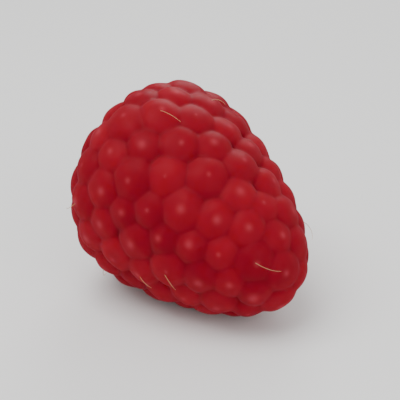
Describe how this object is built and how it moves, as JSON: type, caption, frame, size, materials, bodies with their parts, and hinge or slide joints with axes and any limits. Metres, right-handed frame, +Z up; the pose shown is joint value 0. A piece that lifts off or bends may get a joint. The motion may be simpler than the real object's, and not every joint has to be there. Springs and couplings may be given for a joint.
{
  "type": "raspberry",
  "caption": "Picked raspberry lying on its side: a rounded cone of small juicy drupelets around an open hollow, for a bowl, a dessert or a still life.",
  "frame": {"origin": "on the surface that the berry rests on, below the middle of its bounding box", "axes": "+X along the berry towards its tip, which points 18 degrees down; -X towards its open end; +Y across it; +Z up"},
  "size_m": [0.024, 0.0202, 0.0203],
  "materials": {
    "skin": "soft red fruit skin, faintly velvety, with a dull moist gloss"
  },
  "bodies": {
    "root": {"raspberry": "skin"}
  },
  "joints": []
}
